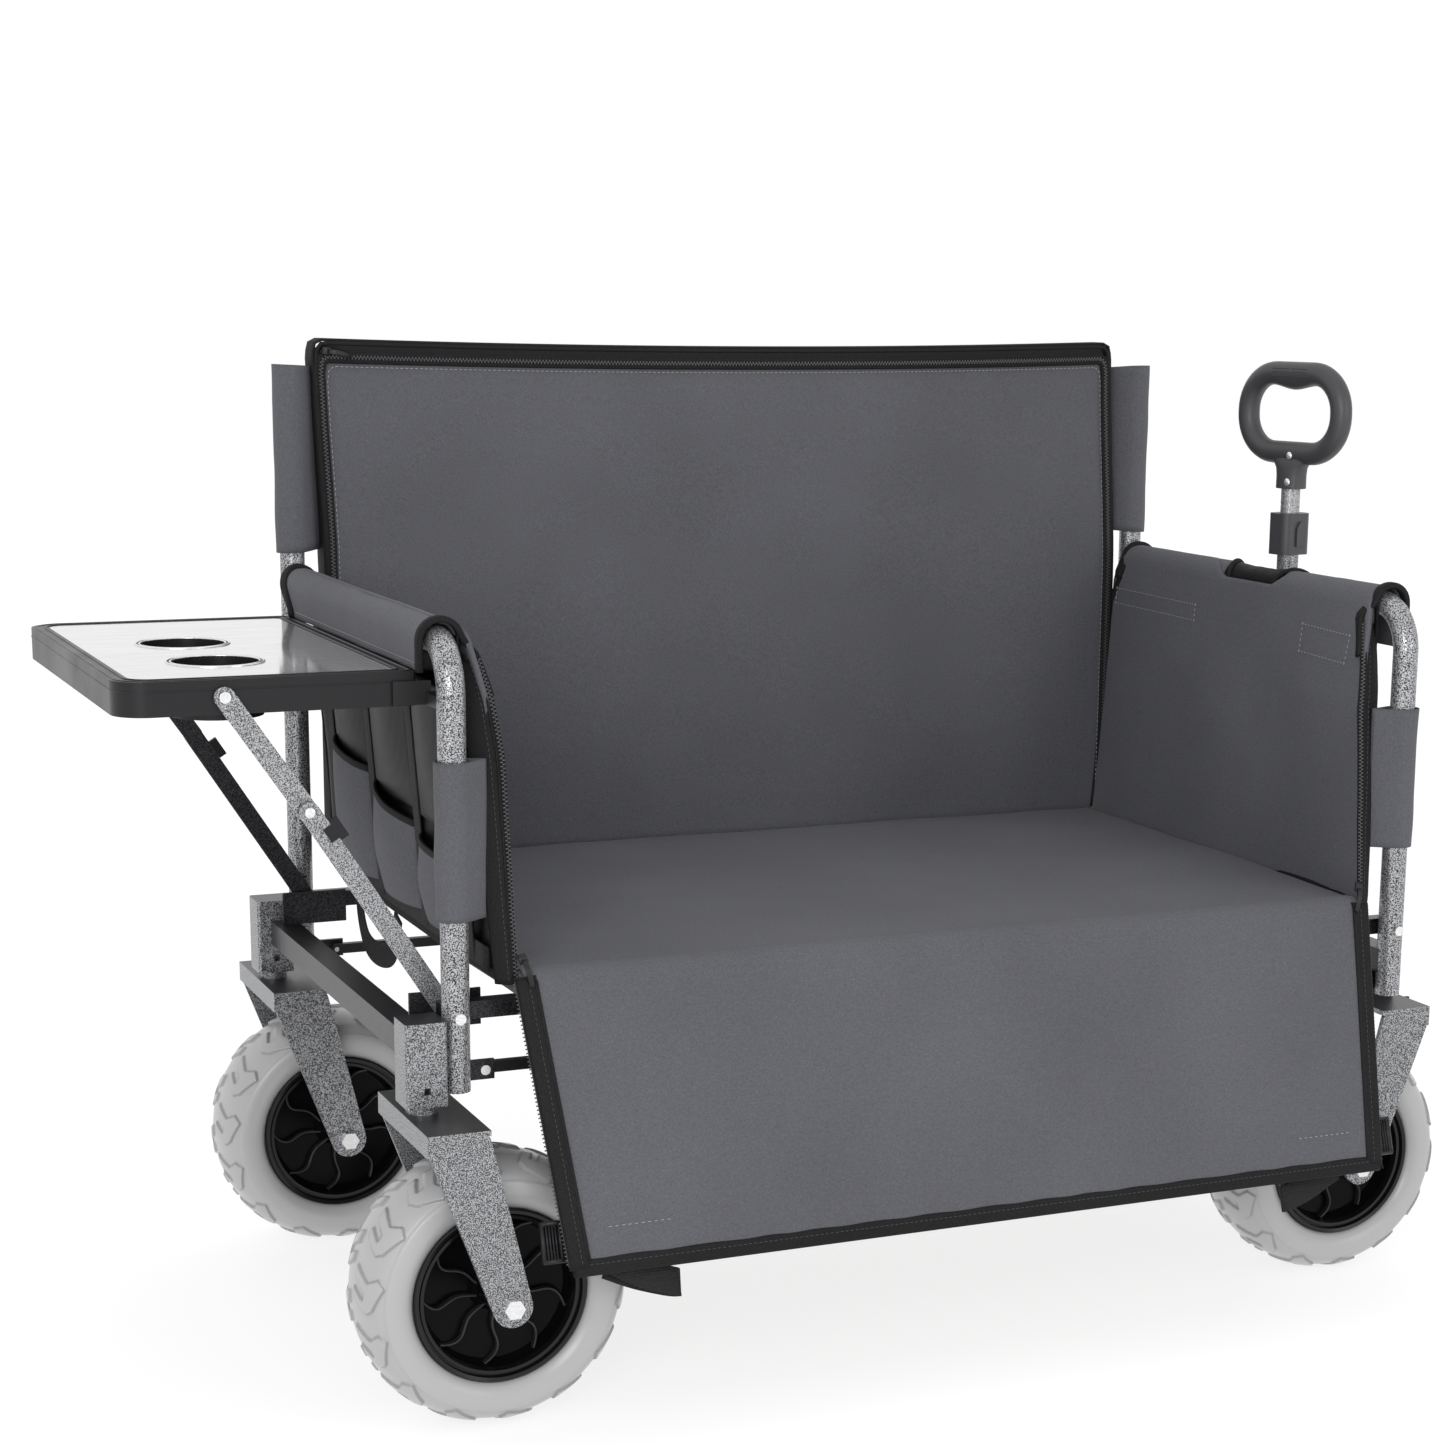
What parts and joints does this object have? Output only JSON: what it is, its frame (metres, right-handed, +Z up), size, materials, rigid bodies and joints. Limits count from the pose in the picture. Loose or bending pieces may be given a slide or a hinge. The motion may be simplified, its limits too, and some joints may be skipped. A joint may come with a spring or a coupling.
{
  "type": "folding wagon bench",
  "caption": "Folding four-wheel pull wagon that opens into a fabric bench, with hinged front flap, backrest, folding side table with cup wells, telescoping handle and caster wheels.",
  "frame": {"origin": "centre of the whole open wagon on the floor", "axes": "+X along the bench towards the pull handle, +Y towards the backrest, +Z up"},
  "size_m": [1.359, 0.7398, 0.938],
  "materials": {
    "hammertone": "hammered silver-black powder coat",
    "black_steel": "black powder coat",
    "fasteners": "zinc plated",
    "bright_steel": "hammered silver",
    "fabric_grey": "woven polyester, charcoal grey",
    "webbing_black": "polypropylene webbing",
    "abs_black": "satin moulded",
    "inlay_silver": "brushed",
    "tyre_grey": "smooth light grey",
    "hub_black": "moulded black",
    "board": "hardboard"
  },
  "bodies": {
    "left_end": {"left_front_post": "hammertone", "left_back_post": "hammertone", "left_cross_tube": "hammertone", "left_caster_housings": "hammertone", "left_rail_brackets": "black_steel", "left_frame_rivets": "fasteners", "table_brackets": "black_steel", "brace_brackets": "black_steel", "left_end_fabric": "fabric_grey", "left_backrest_sleeve": "fabric_grey", "backrest": "fabric_grey"},
    "left_rails": {"left_upper_rails": "hammertone", "left_seat_board": "board", "left_seat_pad": "fabric_grey"},
    "left_lower_rails": {"left_lower_rails": "black_steel"},
    "centre": {"centre_plates": "hammertone", "centre_bolts": "fasteners"},
    "right_rails": {"right_upper_rails": "hammertone", "right_seat_board": "board", "right_seat_pad": "fabric_grey"},
    "right_lower_rails": {"right_lower_rails": "black_steel"},
    "right_end": {"right_front_post": "hammertone", "right_back_post": "hammertone", "right_cross_tube": "hammertone", "right_fork_mounts": "hammertone", "right_rail_brackets": "black_steel", "right_frame_rivets": "fasteners", "right_end_fabric": "fabric_grey", "right_backrest_sleeve": "fabric_grey", "right_forks": "hammertone", "right_axles": "fasteners", "brake_pins": "black_steel", "handle_bracket": "black_steel"},
    "flap": {"front_flap": "fabric_grey", "flap_straps": "webbing_black", "flap_buckles": "abs_black"},
    "table": {"table_top": "abs_black", "table_inlay": "inlay_silver"},
    "brace_upper": {"brace_upper_links": "hammertone"},
    "brace_lower": {"brace_lower_links": "hammertone"},
    "brace_locks": {"brace_lock_clips": "abs_black"},
    "handle": {"handle_lower_tube": "hammertone", "handle_collar": "abs_black"},
    "handle_slide": {"handle_inner_tube": "bright_steel", "handle_grip": "abs_black"},
    "handle_button": {"handle_button": "abs_black"},
    "left_front_caster": {"left_front_fork": "hammertone", "left_front_axle": "fasteners"},
    "left_back_caster": {"left_back_fork": "hammertone", "left_back_axle": "fasteners"},
    "right_front_brake": {"right_front_brake_pedal": "abs_black"},
    "right_back_brake": {"right_back_brake_pedal": "abs_black"},
    "left_front_wheel": {"left_front_tyre": "tyre_grey", "left_front_hub": "hub_black"},
    "left_back_wheel": {"left_back_tyre": "tyre_grey", "left_back_hub": "hub_black"},
    "right_front_wheel": {"right_front_tyre": "tyre_grey", "right_front_hub": "hub_black"},
    "right_back_wheel": {"right_back_tyre": "tyre_grey", "right_back_hub": "hub_black"}
  },
  "joints": [
    {"name": "frame_fold", "type": "hinge", "parent": "left_end", "child": "left_rails", "pos_m": [-0.4045, 0.00888, 0.373], "axis": [0, -1, 0], "range_deg": [0, 70], "deforming": ["left_seat_pad", "right_seat_pad", "backrest", "front_flap", "flap_straps", "flap_buckles"]},
    {"name": "left_lower_fold", "type": "hinge", "parent": "left_end", "child": "left_lower_rails", "pos_m": [-0.3745, 0.00888, 0.318], "axis": [0, -1, 0], "range_deg": [0, 70]},
    {"name": "centre_fold", "type": "hinge", "parent": "left_rails", "child": "centre", "pos_m": [0.0425, 0.00888, 0.373], "axis": [0, -1, 0], "range_deg": [-70, 0]},
    {"name": "right_fold", "type": "hinge", "parent": "centre", "child": "right_rails", "pos_m": [0.1345, 0.00888, 0.373], "axis": [0, -1, 0], "range_deg": [-70, 0]},
    {"name": "right_lower_fold", "type": "hinge", "parent": "centre", "child": "right_lower_rails", "pos_m": [0.1045, 0.00888, 0.318], "axis": [0, -1, 0], "range_deg": [-70, 0]},
    {"name": "right_end_fold", "type": "hinge", "parent": "right_rails", "child": "right_end", "pos_m": [0.5815, 0.00888, 0.373], "axis": [0, -1, 0], "range_deg": [0, 70]},
    {"name": "flap_hinge", "type": "hinge", "parent": "left_end", "child": "flap", "pos_m": [0.0885, -0.28812, 0.404], "axis": [-1, 0, 0], "range_deg": [0, 162]},
    {"name": "table_fold", "type": "hinge", "parent": "left_end", "child": "table", "pos_m": [-0.4315, 0.00888, 0.655], "axis": [0, -1, 0], "range_deg": [0, 90]},
    {"name": "brace_upper_fold", "type": "hinge", "parent": "table", "child": "brace_upper", "pos_m": [-0.5895, 0.00888, 0.657], "axis": [0, -1, 0], "range_deg": [-229.94, 0]},
    {"name": "brace_lower_fold", "type": "hinge", "parent": "left_end", "child": "brace_lower", "pos_m": [-0.4055, 0.00888, 0.374], "axis": [0, -1, 0], "range_deg": [0, 10.66]},
    {"name": "brace_lock_slide", "type": "slide", "parent": "brace_lower", "child": "brace_locks", "axis": [0.5363, 0, -0.844], "range_m": [0, 0.004], "stiffness_N_per_m": 200, "springref_m": -0.002},
    {"name": "handle_tilt", "type": "hinge", "parent": "right_end", "child": "handle", "pos_m": [0.6185, 0.00888, 0.34], "axis": [0, 1, 0], "range_deg": [0, 100]},
    {"name": "handle_extend", "type": "slide", "parent": "handle", "child": "handle_slide", "axis": [0, 0, 1], "range_m": [0, 0.3]},
    {"name": "handle_button_press", "type": "slide", "parent": "handle", "child": "handle_button", "axis": [-0.225, 0.9744, 0], "range_m": [0, 0.003], "stiffness_N_per_m": 400, "springref_m": -0.001},
    {"name": "left_front_swivel", "type": "hinge", "parent": "left_end", "child": "left_front_caster", "pos_m": [-0.4365, -0.26512, 0.33], "axis": [0, 0, 1], "continuous": true},
    {"name": "left_front_wheel_spin", "type": "hinge", "parent": "left_front_caster", "child": "left_front_wheel", "pos_m": [-0.3795, -0.26512, 0.125], "axis": [0, 1, 0], "continuous": true},
    {"name": "right_front_wheel_spin", "type": "hinge", "parent": "right_end", "child": "right_front_wheel", "pos_m": [0.5545, -0.19612, 0.125], "axis": [0, 1, 0], "continuous": true},
    {"name": "right_front_brake", "type": "hinge", "parent": "right_end", "child": "right_front_brake", "pos_m": [0.6385, -0.19612, 0.273], "axis": [0, 1, 0], "range_deg": [0, 20]},
    {"name": "left_back_swivel", "type": "hinge", "parent": "left_end", "child": "left_back_caster", "pos_m": [-0.4365, 0.28288, 0.33], "axis": [0, 0, 1], "continuous": true},
    {"name": "left_back_wheel_spin", "type": "hinge", "parent": "left_back_caster", "child": "left_back_wheel", "pos_m": [-0.3795, 0.28288, 0.125], "axis": [0, 1, 0], "continuous": true},
    {"name": "right_back_wheel_spin", "type": "hinge", "parent": "right_end", "child": "right_back_wheel", "pos_m": [0.5545, 0.21388, 0.125], "axis": [0, 1, 0], "continuous": true},
    {"name": "right_back_brake", "type": "hinge", "parent": "right_end", "child": "right_back_brake", "pos_m": [0.6385, 0.21388, 0.273], "axis": [0, 1, 0], "range_deg": [0, 20]}
  ],
  "couplings": [
    {"joint": "left_lower_fold", "follows": "frame_fold", "ratio": 1},
    {"joint": "centre_fold", "follows": "frame_fold", "ratio": -1},
    {"joint": "right_fold", "follows": "frame_fold", "ratio": -1},
    {"joint": "right_lower_fold", "follows": "frame_fold", "ratio": -1},
    {"joint": "right_end_fold", "follows": "frame_fold", "ratio": 1},
    {"joint": "brace_upper_fold", "follows": "table_fold", "ratio": -2.5547},
    {"joint": "brace_lower_fold", "follows": "table_fold", "ratio": 0.11831}
  ]
}
